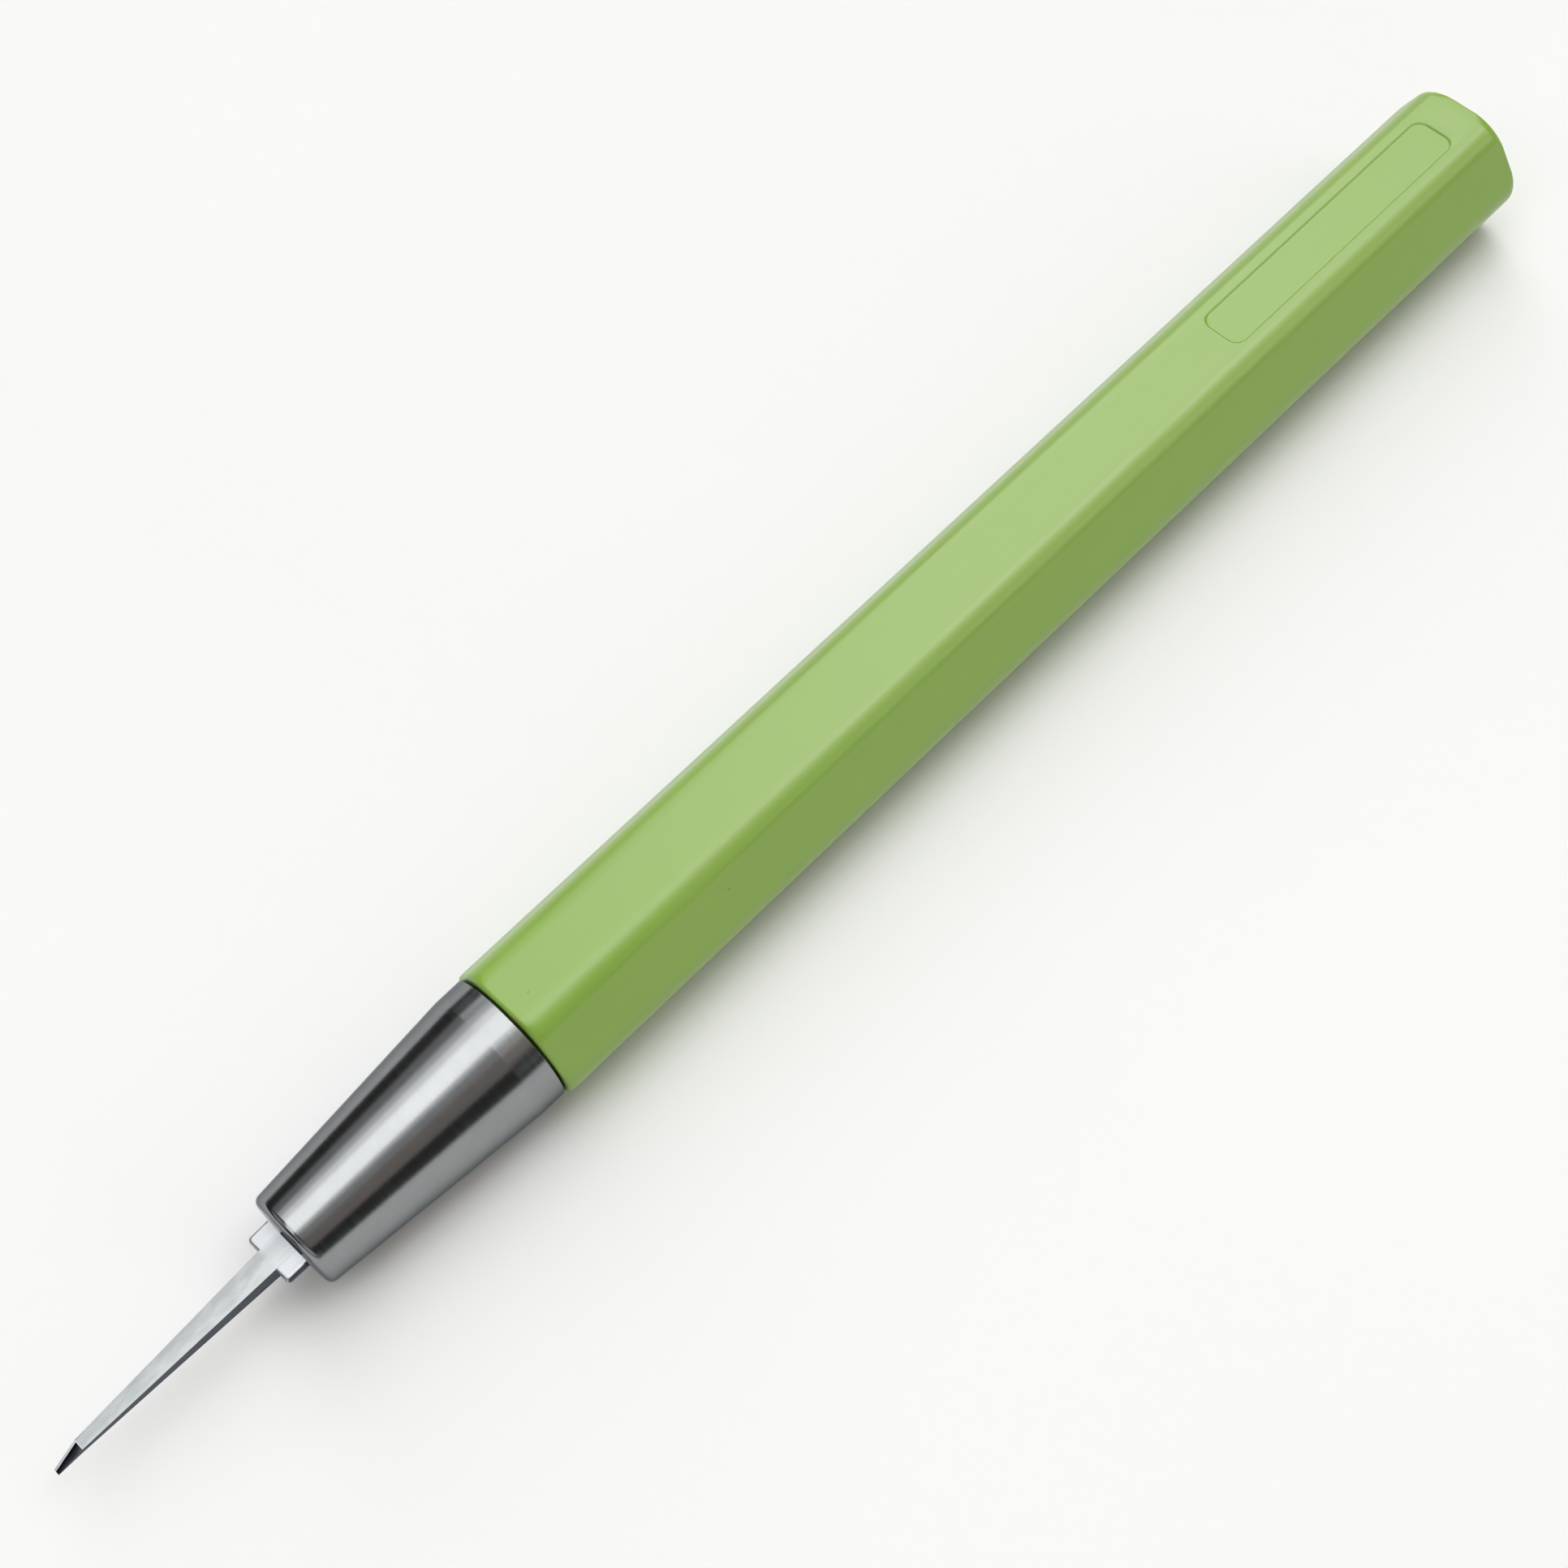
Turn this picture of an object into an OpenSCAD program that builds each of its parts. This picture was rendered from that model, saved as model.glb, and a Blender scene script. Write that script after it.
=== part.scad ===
// Pen-type deburring scraper: a moulded hexagonal handle with a pressed-in threaded stud,
// a screw-on steel nose that closes a split collet, and a shouldered scraper blade.
// Millimetres. The tool lies on a flat of its handle, on z = 0, with its tip towards -X.

/* [Handle] */
// Handle width across flats
handle_af = 10; // [9:0.1:13]
// Handle length
handle_len = 95; // [80:0.5:120]
// Radius along the six long edges
long_edge_r = 2.2; // [0.8:0.1:3]
// How far the turned chamfer at the front cuts into the rounded long edges
front_break = 0.28; // [0.1:0.02:0.3]
// Slope of the front chamfer from the axis of the tool
front_angle = 35; // [25:1:60]
// How far the turned chamfer at the tail cuts into the rounded long edges
tail_break = 0.12; // [0.05:0.01:0.25]
// Slope of the tail chamfer from the axis of the tool
tail_angle = 50; // [25:1:60]
// Diameter of the moulded core hole behind the stud
core_d = 4.6; // [3:0.1:5.6]
// Solid length left at the tail
tail_wall = 9; // [4:0.5:20]

/* [Panel] */
// Length of the shallow bare panel on the top flat
panel_len = 23.6; // [10:0.2:40]
// Width of the panel
panel_w = 3.4; // [2:0.1:4]
// Corner radius of the panel
panel_r = 0.9; // [0.3:0.1:1]
// Depth of the panel
panel_depth = 0.12; // [0.05:0.01:0.4]
// Distance from the panel to the tail face
panel_to_tail = 3.1; // [2:0.1:10]

/* [Stud] */
// Thread diameter shared by the stud and the nose
thread_d = 7; // [6.4:0.1:7.2]
// Length of stud that stands out of the handle
thread_len = 7.6; // [6:0.1:9]
// Width of the relief groove behind the thread
relief_w = 0.9; // [0.5:0.1:1.5]
// Depth of the relief groove
relief_depth = 0.55; // [0.3:0.05:0.8]
// Diameter of the collar let into the handle
collar_d = 7.8; // [7.3:0.1:8.2]
// Thickness of the collar
collar_t = 1.2; // [0.6:0.1:2]
// Diameter of the knurled shank pressed into the handle
shank_d = 6.2; // [5.8:0.1:6.4]
// Length of the shank behind the collar
shank_len = 15; // [8:0.5:25]
// Width of the barb groove in the shank
barb_w = 1.6; // [0.8:0.1:3]
// Depth of the barb groove
barb_depth = 0.35; // [0.2:0.05:0.6]

/* [Collet] */
// Diameter of the collet head
head_d = 5.6; // [5:0.1:5.8]
// Half angle of the closing taper
taper_angle = 12; // [8:0.5:18]
// Length of the closing taper
taper_len = 3.6; // [2:0.1:4.5]
// Diameter of the collet tail, which slides in the stud
tail_d = 4; // [3.4:0.1:4.4]
// Length of the collet tail
tail_len = 7.4; // [5:0.1:10]
// Width of the crossed slits
slit_w = 0.6; // [0.3:0.05:0.8]
// Length of the slits from the front
slit_len = 8; // [5:0.1:9]

/* [Nose] */
// Length of the nose
nose_len = 18.85; // [17:0.05:24]
// How far the nose sits inside the flats of the handle
nose_inset = 0.075; // [0.05:0.005:0.3]
// Diameter of the front face before its edge is rounded
nose_front_d = 7.14; // [6.4:0.02:8]
// Length of the plain land next to the handle
land_len = 2.1; // [1:0.1:4]
// Radius of the rear edge
nose_back_r = 0.25; // [0.1:0.05:0.5]
// Radius of the front edge
nose_front_r = 0.55; // [0.2:0.05:0.7]
// Thickness of the wall at the mouth
mouth_wall = 1.2; // [0.8:0.1:2]

/* [Blade] */
// Width across the stop shoulders
shoulder_w = 4; // [3:0.1:5]
// Length of the shoulder bar along the tool
shoulder_len = 1.72; // [1:0.02:3]
// Thickness of the shoulder bar
shoulder_t = 0.6; // [0.4:0.05:0.9]
// Chamfer on the front corners of the shoulders
shoulder_corner = 0.2; // [0.1:0.02:0.3]
// Chamfer on the upper front edge of the shoulders
shoulder_break = 0.24; // [0.05:0.01:0.3]
// Chamfer on the upper ends of the shoulders
end_break = 0.14; // [0.05:0.01:0.3]
// Free length of the blade ahead of the shoulders
blade_len = 17.45; // [10:0.05:30]
// Blade width at the shoulders
root_w = 1.72; // [1.2:0.02:2.4]
// Fillet between the blade and the shoulders
root_r = 0.25; // [0.1:0.05:0.6]
// Blade width where the tip bevel starts
bevel_w = 0.83; // [0.6:0.01:1.2]
// Blade thickness at the shoulders
root_t = 1.34; // [1:0.02:1.6]
// Blade thickness where the tip bevel starts
bevel_t = 0.4; // [0.25:0.01:0.6]
// Length of the tip bevel
bevel_len = 2; // [1:0.1:4]
// Width of the cutting edge
edge_w = 0.46; // [0.3:0.01:0.6]
// Sideways offset of the cutting edge
edge_offset = 0.18; // [0:0.01:0.25]
// Thickness left at the cutting edge
edge_t = 0.04; // [0.02:0.01:0.1]
// Width of the tang
tang_w = 1.6; // [1.2:0.05:1.8]
// Thickness of the tang
tang_t = 1.1; // [0.8:0.05:1.3]
// Length of the tang behind the shoulders
tang_len = 9; // [6:0.1:10]

/* [Clearances] */
// Gap between the nose and the handle
nose_gap = 0.1; // [0.05:0.01:0.3]
// Gap between the blade shoulders and the nose
shoulder_gap = 0.12; // [0.05:0.01:0.3]
// Radial clearance of the thread
thread_clear = 0.06; // [0.03:0.01:0.1]
// Radial clearance of the collet tail in the stud
tail_clear = 0.05; // [0.02:0.01:0.1]
// Clearance between the collet taper and the nose
taper_clear = 0.06; // [0.03:0.01:0.1]
// Clearance round the corners of the tang in the collet
tang_clear = 0.05; // [0.02:0.01:0.1]
// Clearance round the corners of the tang at the mouth of the nose
mouth_clear = 0.15; // [0.1:0.01:0.3]
// Gap between end faces of pieces that part when the nose is unscrewed
end_gap = 0.3; // [0.1:0.05:0.6]

/* [Hidden] */
$fn = 96;

// Steps in a quarter of a small edge radius
arc_steps = 6;
// Overrun of a cutting shape past the face that it cuts
over = 1;
// Chamfer on the leading edges of turned pieces
lead = 0.4;
// Height of a long edge's round above the flats where it would only touch them
edge_lift = 0.003;
// Point angle of drilled blind holes
drill_half_angle = 59;

// Places along the tool, from the front face of the handle
nose_back = -nose_gap;
nose_front = nose_back - nose_len;
shoulder_back = nose_front - shoulder_gap;
shoulder_front = shoulder_back - shoulder_len;
bevel_start = shoulder_front - blade_len + bevel_len;
tip = shoulder_front - blade_len;
stud_front = -thread_len;
stud_back = collar_t + shank_len;
mouth_back = nose_front + mouth_wall;
head_front = mouth_back + end_gap;
taper_back = head_front + taper_len;
head_back = stud_front - taper_clear;
tail_back = head_back + tail_len;
tang_back = shoulder_back + tang_len;
bore_back = tang_back + end_gap;
thread_bore_front = stud_front - end_gap;
core_back = handle_len - tail_wall;

// Radii and heights
flat_r = handle_af / 2;
corner_r = (flat_r - long_edge_r) / cos(30) + long_edge_r;
nose_back_d = handle_af - 2 * nose_inset;
head_front_r = head_d / 2 - taper_len * tan(taper_angle);
tang_corner_r = norm([tang_w, tang_t]) / 2;
underside = -tang_t / 2;

// Taper of the blade's plan, and where the fillets meet the shoulders
plan_taper = atan((root_w - bevel_w) / 2 / (shoulder_front - bevel_start));
fillet_y = root_w / 2 - root_r * tan(plan_taper) + root_r / cos(plan_taper);

// The middle of the whole tool stands over the origin
to_middle = [-(handle_len + tip) / 2, 0, flat_r];

// Height of the blade's upper face at a place along the tool
function top_at(x) =
    underside + root_t + (bevel_t - root_t) * (shoulder_back - x) / (shoulder_back - bevel_start);

// Points of a quarter round about a centre, from one angle to another
function arc(centre, r, from, to) =
    [for (i = [0 : arc_steps]) centre + r * [cos(from + (to - from) * i / arc_steps),
                                             sin(from + (to - from) * i / arc_steps)]];

// Radius of the nose cone at a place along the tool
function cone_r(x) =
    nose_back_d / 2 + (nose_front_d - nose_back_d) / 2
        * (nose_back - land_len - x) / (nose_len - land_len);

// Turns a [radius, place] outline about the axis of the tool
module turned() {
    rotate([0, 90, 0]) rotate_extrude() children();
}

// Extrudes a [y, z] outline along the tool
module along(from, to) {
    translate([from, 0, 0]) rotate([90, 0, 90]) linear_extrude(to - from) children();
}

// Extrudes an [x, z] side outline across the tool
module across(width) {
    rotate([90, 0, 0]) linear_extrude(width, center = true) children();
}

// Hexagon with round corners, each round crossing its two flats at a small clear angle
module rounded_hexagon(across_flats, r) {
    centre_r = (across_flats / 2 - r) / cos(30);
    intersection() {
        circle(d = across_flats / cos(30), $fn = 6);
        union() {
            for (k = [0 : 2]) rotate(60 * k) square([centre_r, across_flats + over], center = true);
            for (k = [0 : 5]) rotate(60 * k) translate([centre_r, 0]) circle(r = r + edge_lift);
        }
    }
}

module rounded_rectangle(length, width, r) {
    square([length - 2 * r, width], center = true);
    square([length, width - 2 * r], center = true);
    for (x = [-1, 1], y = [-1, 1]) translate([x * (length / 2 - r), y * (width / 2 - r)]) circle(r = r);
}

// Hexagonal bar with its corners turned down a little at both ends
module handle_blank() {
    outer_r = corner_r + over;
    front_r = corner_r - front_break;
    tail_r = corner_r - tail_break;
    intersection() {
        along(0, handle_len) rounded_hexagon(handle_af, long_edge_r);
        turned() polygon([[0, 0], [front_r, 0], [outer_r, (outer_r - front_r) / tan(front_angle)],
                          [outer_r, handle_len - (outer_r - tail_r) / tan(tail_angle)],
                          [tail_r, handle_len], [0, handle_len]]);
    }
}

module handle() {
    color([0.58, 0.72, 0.36]) translate(to_middle) difference() {
        handle_blank();
        turned() polygon([[0, -over], [collar_d / 2, -over], [collar_d / 2, collar_t],
                          [shank_d / 2, collar_t], [shank_d / 2, stud_back],
                          [core_d / 2, stud_back], [core_d / 2, core_back],
                          [0, core_back + core_d / 2 / tan(drill_half_angle)]]);
        translate([handle_len - panel_to_tail - panel_len / 2, 0, flat_r - panel_depth])
            linear_extrude(panel_depth + over) rounded_rectangle(panel_len, panel_w, panel_r);
    }
}

module chuck_stud() {
    socket_r = tail_d / 2 + tail_clear;
    thread_r = thread_d / 2;
    barb_middle = collar_t + shank_len / 2;
    color([0.78, 0.66, 0.36]) translate(to_middle) turned() polygon([
        [socket_r, stud_front], [thread_r - lead, stud_front], [thread_r, stud_front + lead],
        [thread_r, -relief_w], [thread_r - relief_depth, -relief_w], [thread_r - relief_depth, 0],
        [collar_d / 2, 0], [collar_d / 2, collar_t], [shank_d / 2, collar_t],
        [shank_d / 2, barb_middle - barb_w / 2], [shank_d / 2 - barb_depth, barb_middle - barb_w / 2],
        [shank_d / 2 - barb_depth, barb_middle + barb_w / 2], [shank_d / 2, barb_middle + barb_w / 2],
        [shank_d / 2, stud_back - lead], [shank_d / 2 - lead, stud_back], [0, stud_back],
        [0, tail_back + end_gap + socket_r / tan(drill_half_angle)],
        [socket_r, tail_back + end_gap]]);
}

module collet() {
    bore_r = tang_corner_r + tang_clear;
    color([0.62, 0.63, 0.65]) translate(to_middle) difference() {
        turned() polygon([
            [0, head_front], [head_front_r, head_front], [head_d / 2, taper_back],
            [head_d / 2, head_back], [tail_d / 2, head_back],
            [tail_d / 2, tail_back - lead], [tail_d / 2 - lead, tail_back], [0, tail_back]]);
        turned() polygon([
            [0, head_front - over], [bore_r, head_front - over], [bore_r, bore_back],
            [0, bore_back + bore_r / tan(drill_half_angle)]]);
        for (k = [0, 90]) rotate([k + 45, 0, 0])
            translate([head_front - over, -slit_w / 2, -head_d])
                cube([slit_len + over, slit_w, 2 * head_d]);
    }
}

module nose() {
    bore_r = thread_d / 2 + thread_clear;
    head_r = head_d / 2 + taper_clear;
    throat_r = head_front_r + taper_clear / cos(taper_angle) - end_gap * tan(taper_angle);
    mouth_r = tang_corner_r + mouth_clear;
    back_r = nose_back_d / 2;
    front_r = nose_front_d / 2;
    cone_angle = atan((back_r - front_r) / (nose_len - land_len));
    front_centre_x = nose_front + nose_front_r;
    front_centre_r = cone_r(front_centre_x) - nose_front_r / cos(cone_angle);
    color([0.72, 0.73, 0.75]) translate(to_middle) turned() polygon(concat(
        [[mouth_r, nose_front]],
        arc([front_centre_r, front_centre_x], nose_front_r, -90, -cone_angle),
        [[back_r, nose_back - land_len]],
        arc([back_r - nose_back_r, nose_back - nose_back_r], nose_back_r, 0, 90),
        [[bore_r + lead, nose_back], [bore_r, nose_back - lead], [bore_r, thread_bore_front],
         [head_r, thread_bore_front], [head_r, taper_back],
         [throat_r, mouth_back], [mouth_r, mouth_back]]));
}

// Side view of the blade: flat underside, tapering upper face and tip bevel
module blade_side() {
    polygon([[shoulder_back, underside], [tip, underside], [tip, underside + edge_t],
             [bevel_start, underside + bevel_t], [shoulder_back, top_at(shoulder_back)]]);
}

// Plan of the blade from its shoulders to its edge
module blade_plan() {
    polygon([[shoulder_back, -root_w / 2], [shoulder_front, -root_w / 2], [bevel_start, -bevel_w / 2],
             [tip, -edge_offset - edge_w / 2], [tip, -edge_offset + edge_w / 2],
             [bevel_start, bevel_w / 2], [shoulder_front, root_w / 2], [shoulder_back, root_w / 2]]);
}

// Plan of the shoulder bar, with its front corners taken off and its fillets against the blade
module shoulder_plan() {
    half = shoulder_w / 2;
    fillet = arc([shoulder_front - root_r, fillet_y], root_r, 0, plan_taper - 90);
    polygon([[shoulder_back, 0], [shoulder_back, half], [shoulder_front + shoulder_corner, half],
             [shoulder_front, half - shoulder_corner],
             each fillet, [fillet[arc_steps][0], 0]]);
}

// Chamfer along the upper front edge of one shoulder and over its end
module shoulder_edge_cut() {
    high = top_at(shoulder_back);
    front_z = top_at(shoulder_front) - shoulder_break;
    end_y = shoulder_w / 2 - end_break;
    translate([0, fillet_y, 0]) rotate([90, 0, 0]) mirror([0, 0, 1]) linear_extrude(shoulder_w)
        polygon([[shoulder_front - over, front_z - over], [shoulder_front - over, high + over],
                 [shoulder_front + high + over - front_z, high + over]]);
    along(shoulder_front - over, shoulder_back + over)
        polygon([[end_y - over, high + over], [end_y + over, high + over], [end_y + over, high - over]]);
}

module tang() {
    half = tang_w / 2;
    translate([0, 0, underside]) linear_extrude(tang_t)
        polygon([[shoulder_front, -half], [tang_back - lead, -half], [tang_back, lead - half],
                 [tang_back, half - lead], [tang_back - lead, half], [shoulder_front, half]]);
}

module blade() {
    color([0.8, 0.82, 0.83]) translate(to_middle) union() {
        difference() {
            intersection() {
                union() {
                    translate([0, 0, underside - over]) linear_extrude(root_t + 2 * over) blade_plan();
                    for (side = [0, 1]) mirror([0, side, 0])
                        translate([0, 0, top_at(shoulder_back) - shoulder_t])
                            linear_extrude(shoulder_t + over) shoulder_plan();
                }
                across(2 * shoulder_w) blade_side();
            }
            for (side = [0, 1]) mirror([0, side, 0]) shoulder_edge_cut();
        }
        tang();
    }
}

handle();
chuck_stud();
collet();
nose();
blade();
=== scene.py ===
import math

import bmesh
import bpy
from mathutils import Matrix, Vector


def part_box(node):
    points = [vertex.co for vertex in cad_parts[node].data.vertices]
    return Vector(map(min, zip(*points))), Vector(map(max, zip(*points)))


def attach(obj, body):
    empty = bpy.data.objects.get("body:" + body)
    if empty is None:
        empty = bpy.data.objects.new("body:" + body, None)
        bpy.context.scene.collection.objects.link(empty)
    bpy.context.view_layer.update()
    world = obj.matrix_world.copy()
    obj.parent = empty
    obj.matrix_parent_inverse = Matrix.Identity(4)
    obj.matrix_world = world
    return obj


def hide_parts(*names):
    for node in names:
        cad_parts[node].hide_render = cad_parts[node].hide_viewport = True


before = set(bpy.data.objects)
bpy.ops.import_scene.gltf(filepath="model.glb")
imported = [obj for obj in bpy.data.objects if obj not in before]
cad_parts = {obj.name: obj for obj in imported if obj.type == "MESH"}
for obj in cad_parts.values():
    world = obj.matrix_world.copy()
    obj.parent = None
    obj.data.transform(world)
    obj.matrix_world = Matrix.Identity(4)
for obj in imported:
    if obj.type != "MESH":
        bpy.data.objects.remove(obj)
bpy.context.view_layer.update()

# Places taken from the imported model, in metres
MM = 0.001
handle_low, handle_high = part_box("handle")
nose_low, nose_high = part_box("nose")
blade_low, blade_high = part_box("blade")
stud_low, stud_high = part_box("chuck_stud")
FRONT_CENTRE = Vector((handle_low.x, 0, (handle_low.z + handle_high.z) / 2))


def along(x):
    """Millimetres along the tool, from the front face of the handle, of a place in the frame."""
    return (x - FRONT_CENTRE.x) / MM


def place(x, y=0.0, z=0.0):
    """The frame's point for millimetres from the middle of the handle's front face."""
    return FRONT_CENTRE + Vector((x, y, z)) * MM


# Driving sizes in millimetres, with lengths along the tool from the front face of the handle
HANDLE_LEN = along(handle_high.x)
FLAT_R = (handle_high.z - handle_low.z) / 2 / MM
NOSE_BACK = along(nose_high.x)
NOSE_FRONT = along(nose_low.x)
NOSE_R = (nose_high.y - nose_low.y) / 2 / MM
TIP = along(blade_low.x)
TANG_BACK = along(blade_high.x)
STUD_FRONT = along(stud_low.x)
STUD_BACK = along(stud_high.x)
COLLAR_R = (stud_high.y - stud_low.y) / 2 / MM
TURN_STEPS = 240

# Handle, with rounded rims at its ends and long edges that grow softer over a blend there
LONG_EDGE_R = 2.2
FRONT_RIM = 0.28
FRONT_SOFT = 0.8
FRONT_BLEND = 0.7
TAIL_RIM = 0.14
TAIL_SOFT = 1.4
TAIL_BLEND = 0.7
RIM_ROWS = 8
BLEND_ROWS = 5
BLANK_SPARE = 0.05
CORE_LEAD = 0.05
COLLAR_T = 1.2
SHANK_R = 3.1
PANEL_LEN = 23.6
PANEL_W = 3.4
PANEL_R = 0.9
PANEL_DEPTH = 0.12
PANEL_TO_TAIL = 3.1
PANEL_SOFT = 0.09

# Nose, outside and inside
LAND_LEN = 2.1
NOSE_FRONT_R = 3.57
NOSE_FRONT_EDGE = 0.55
NOSE_BACK_EDGE = 0.12
KINK = 0.03
MOUTH_R = 1.12
MOUTH_LEAD = 0.05
MOUTH_WALL = 1.2
THROAT_R = 2.04
HEAD_BORE_R = 2.86
TAPER_LEN = 3.9
THREAD_BORE_R = 3.56
BORE_LEAD = 0.4
BORE_GAP = 0.3

# Stud and its thread
THREAD_R = 3.5
THREAD_DEPTH = 0.5
THREAD_PITCH = 1.0
THREAD_CREST = 0.2
THREAD_FOOT = 0.8
THREAD_START = 0.05
THREAD_SINK = 0.1
THREAD_STEPS = 64
RELIEF_W = 0.9
RELIEF_R = 2.95
SOCKET_R = 2.05
SOCKET_BACK = 0.05
STUD_LEAD = 0.4

# Blade, where a sink is how far one bar lies under or inside another, and a slack is a margin for faces
SHOULDER_GAP = 0.12
SHOULDER_LEN = 1.72
SHOULDER_W = 4.0
SHOULDER_T = 0.6
SHOULDER_ROUND = 0.2
SHOULDER_CORNER = 0.32
SHOULDER_SINK = 0.015
BODY_SINK = 0.01
ROOT_W = 1.72
ROOT_T = 1.34
BEVEL_W = 0.83
BEVEL_T = 0.4
BEVEL_LEN = 2.0
EDGE_W = 0.46
EDGE_T = 0.04
EDGE_OFFSET = 0.18
TANG_W = 1.6
TANG_T = 1.1
TANG_LEAD = 0.4
TANG_SINK = 0.6
TANG_LIFT = 0.01
GROUND_EDGE = 0.03
HONED_W = 0.17
# Painted highlight: width of the pale line where the tip bevel starts
PAINTED_HIGHLIGHT_LINE = 0.07
BACK_SLACK = 0.02
SIDE_SLACK = 0.05
FRONT_SLACK = 0.1


# Modelling helpers
def deselect_all():
    """Leaves edit mode and selects nothing."""
    if bpy.context.object and bpy.context.object.mode != "OBJECT":
        bpy.ops.object.mode_set(mode="OBJECT")
    bpy.ops.object.select_all(action="DESELECT")


def take_up(piece):
    """Makes a piece the only selected and active one."""
    deselect_all()
    piece.select_set(True)
    bpy.context.view_layer.objects.active = piece


def settle(piece, name):
    """Names a new primitive and puts its place and size into its mesh."""
    piece.name = name
    bpy.ops.object.transform_apply(location=True, rotation=True, scale=True)
    return piece


def pick(piece, kind, test):
    """In edit mode, selects only the vertices or edges that pass a test."""
    bpy.ops.mesh.select_mode(type={"verts": "VERT", "edges": "EDGE"}[kind])
    bpy.ops.mesh.select_all(action="DESELECT")
    mesh = bmesh.from_edit_mesh(piece.data)
    for item in getattr(mesh, kind):
        item.select_set(test(item))
    bmesh.update_edit_mesh(piece.data)


def close(a, b):
    """Whether two places agree to two thousandths of a millimetre."""
    return abs(a - b) < 0.002 * MM


def lies_at(edge, x):
    """Whether both ends of an edge stand at one place along the tool, in millimetres."""
    return all(close(v.co.x, place(x).x) for v in edge.verts)


def apply_modifier(piece, kind, **settings):
    """Puts a modifier on a piece and applies it."""
    take_up(piece)
    modifier = piece.modifiers.new(kind.title(), kind)
    for key, value in settings.items():
        setattr(modifier, key, value)
    bpy.ops.object.modifier_apply(modifier=modifier.name)


def combine(piece, other, operation):
    """Joins a solid to a piece or cuts it away, and removes it."""
    apply_modifier(piece, "BOOLEAN", operation=operation, solver="EXACT", object=other)
    bpy.data.objects.remove(other)


def smooth(piece, angle):
    """Smooth shading below an angle, with broad faces kept flat."""
    take_up(piece)
    bpy.ops.object.shade_smooth_by_angle(angle=math.radians(angle))
    apply_modifier(piece, "WEIGHTED_NORMAL", keep_sharp=True)


def arc(centre, radius, start, end, steps):
    """Points of a round stretch in an [along, radius] outline, between two angles in degrees."""
    angles = [math.radians(start + (end - start) * i / steps) for i in range(steps + 1)]
    return [(centre[0] + radius * math.cos(a), centre[1] + radius * math.sin(a)) for a in angles]


def turned_piece(name, outline, ring):
    """Turns an [along, radius] outline round the tool's axis, as a ring or with its ends filled."""
    deselect_all()
    x, radius = outline[0]
    bpy.ops.mesh.primitive_circle_add(vertices=TURN_STEPS, radius=radius * MM, location=place(x),
                                      rotation=(0, math.pi / 2, 0))
    piece = settle(bpy.context.object, name)
    bpy.ops.object.mode_set(mode="EDIT")
    bpy.ops.mesh.select_mode(type="EDGE")
    bpy.ops.mesh.select_all(action="SELECT")
    for next_x, next_radius in outline[1:]:
        bpy.ops.mesh.extrude_edges_move(TRANSFORM_OT_translate={"value": ((next_x - x) * MM, 0, 0)})
        share = next_radius / radius
        bpy.ops.transform.resize(value=(1, share, share), center_override=place(next_x))
        x, radius = next_x, next_radius
    bpy.ops.mesh.select_all(action="DESELECT")
    bpy.ops.mesh.select_non_manifold()
    if ring:
        bpy.ops.mesh.bridge_edge_loops()
    else:
        bpy.ops.mesh.fill_holes(sides=0)
    bpy.ops.mesh.select_all(action="SELECT")
    bpy.ops.mesh.normals_make_consistent(inside=False)
    bpy.ops.object.mode_set(mode="OBJECT")
    return piece


# Pieces
def edge_radius(x):
    """Radius of the long edges, which grow softer towards both ends of the bar."""
    front = FRONT_SOFT * max(0, 1 - x / FRONT_BLEND) ** 2
    tail = TAIL_SOFT * max(0, 1 - (HANDLE_LEN - x) / TAIL_BLEND) ** 2
    return LONG_EDGE_R + front + tail


def hexagon_reach(angle, edge):
    """Radius of the hexagon with rounded edges, at an angle from one of its corners in radians."""
    sector = math.radians(60)
    turn = abs((angle + sector / 2) % sector - sector / 2)
    inner = FLAT_R - edge
    flat = FLAT_R / math.cos(sector / 2 - turn)
    if flat * math.sin(sector / 2 - turn) < inner * math.tan(sector / 2):
        return flat
    centre = inner / math.cos(sector / 2)
    return centre * math.cos(turn) + math.sqrt(edge ** 2 - (centre * math.sin(turn)) ** 2)


def rim_inset(x):
    """How far the rounded rims at the two ends draw the bar in, at a place along it."""
    for gap, radius in ((x, FRONT_RIM), (HANDLE_LEN - x, TAIL_RIM)):
        if gap < radius:
            return radius - math.sqrt(radius ** 2 - (radius - gap) ** 2)
    return 0.0


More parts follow.
